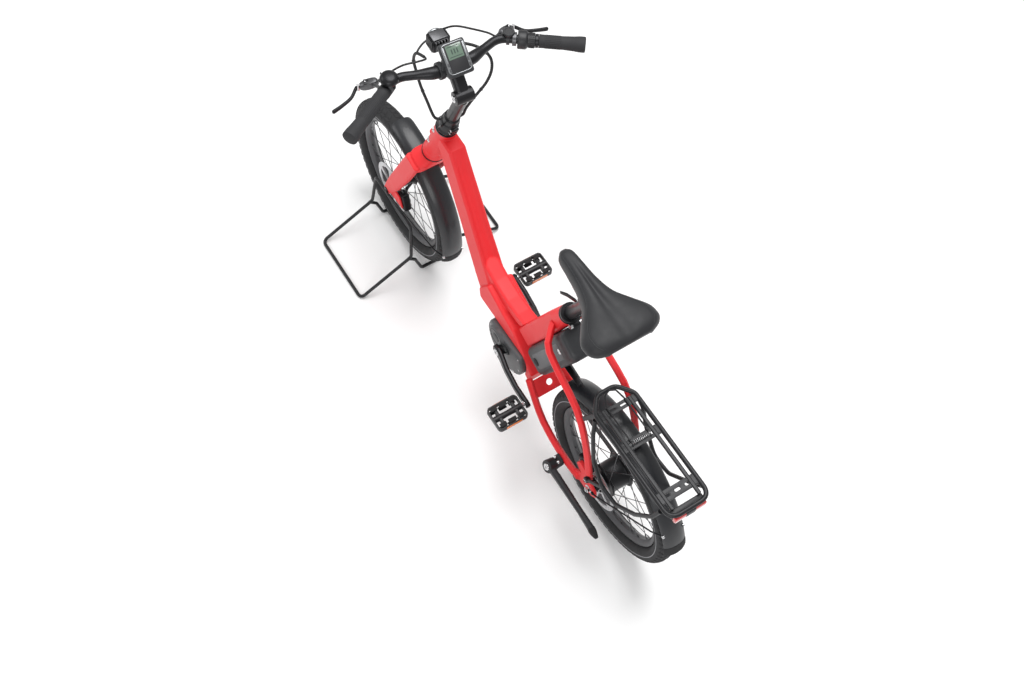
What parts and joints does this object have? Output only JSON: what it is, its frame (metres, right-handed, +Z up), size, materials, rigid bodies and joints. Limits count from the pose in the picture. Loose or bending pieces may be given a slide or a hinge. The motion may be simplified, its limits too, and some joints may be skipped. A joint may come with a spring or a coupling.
{
  "type": "step-through electric bicycle",
  "caption": "Compact step-through electric bicycle with small wheels, mid-mounted motor, belt drive, fenders and rear rack, its front wheel held in a wire floor stand.",
  "frame": {"origin": "on the floor under the middle of the bicycle's outline, front to back and side to side", "axes": "+X towards the front wheel, +Y to the rider's left, +Z up"},
  "size_m": [1.6179, 0.6335, 1.1188],
  "materials": {
    "tyre": "matt black rubber with a block tread",
    "black_metal": "satin black anodised",
    "steel": "brushed brake disc steel",
    "black_rubber": "matt black",
    "red_paint": "matt coral red paint",
    "saddle_cover": "soft matt charcoal cover",
    "grey_plastic": "satin mid grey",
    "dark_plastic": "satin dark grey",
    "black_plastic": "satin black",
    "grip_rubber": "matt dark grey",
    "silver_metal": "satin silver grey",
    "red_lens": "clear red lens",
    "dark_metal": "dark grey powder coat"
  },
  "bodies": {
    "frame": {"main_frame": "red_paint", "seat_tube": "red_paint", "seat_stay_left": "red_paint", "seat_stay_right": "red_paint", "chain_stay_left": "red_paint", "chain_stay_right": "red_paint", "stay_plate": "red_paint", "seat_clamp": "black_metal", "seat_post": "black_metal", "saddle": "saddle_cover", "motor": "grey_plastic", "battery_pack": "dark_plastic", "belt": "black_rubber", "rear_fender": "black_plastic", "rear_caliper": "black_metal", "rack_top": "black_metal", "rack_hoop_left": "black_metal", "rack_hoop_right": "black_metal", "rack_spring_clamp": "black_metal", "tail_lamp": "red_lens", "kickstand_mount": "dark_metal"},
    "steering": {"fork": "red_paint", "front_fender": "black_plastic", "front_caliper": "black_metal", "stem_riser": "black_metal", "stem": "black_metal", "handlebar": "black_metal", "grip_left": "grip_rubber", "grip_right": "grip_rubber", "twist_shifter": "grip_rubber", "brake_lever_left": "silver_metal", "brake_lever_right": "silver_metal", "bell": "black_plastic", "display": "dark_plastic", "headlamp": "black_plastic", "loom_left": "black_rubber", "loom_right": "black_rubber", "brake_hose_left": "black_rubber", "brake_hose_right": "black_rubber", "wheel_stand": "dark_metal"},
    "front_wheel": {"front_tyre": "tyre", "front_wheel": "black_metal", "front_rotor": "steel"},
    "rear_wheel": {"rear_tyre": "tyre", "rear_wheel": "black_metal", "rear_rotor": "steel", "rear_pulley": "black_metal"},
    "cranks": {"crank_left": "black_metal", "crank_right": "black_metal", "front_pulley": "black_metal"},
    "pedal_left": {"pedal_left": "black_plastic"},
    "pedal_right": {"pedal_right": "black_plastic"},
    "kickstand": {"kickstand": "dark_metal"}
  },
  "joints": [
    {"name": "steering_turn", "type": "hinge", "parent": "frame", "child": "steering", "pos_m": [0.5108, 0, 0.2458], "axis": [-0.3453, 0, 0.9385], "range_deg": [-60, 60]},
    {"name": "front_wheel_spin", "type": "hinge", "parent": "steering", "child": "front_wheel", "pos_m": [0.5493, 0, 0.26], "axis": [0, 1, 0], "continuous": true},
    {"name": "rear_wheel_spin", "type": "hinge", "parent": "frame", "child": "rear_wheel", "pos_m": [-0.5377, 0, 0.26], "axis": [0, 1, 0], "continuous": true},
    {"name": "crank_spin", "type": "hinge", "parent": "frame", "child": "cranks", "pos_m": [-0.0847, 0, 0.2885], "axis": [0, 1, 0], "continuous": true},
    {"name": "pedal_left_spin", "type": "hinge", "parent": "cranks", "child": "pedal_left", "pos_m": [-0.2547, 0.15, 0.2885], "axis": [0, 1, 0], "continuous": true},
    {"name": "pedal_right_spin", "type": "hinge", "parent": "cranks", "child": "pedal_right", "pos_m": [0.0853, -0.15, 0.2885], "axis": [0, 1, 0], "continuous": true},
    {"name": "kickstand_swing", "type": "hinge", "parent": "frame", "child": "kickstand", "pos_m": [-0.4197, 0.118, 0.225], "axis": [0, -0.9397, -0.342], "range_deg": [0, 110]}
  ]
}
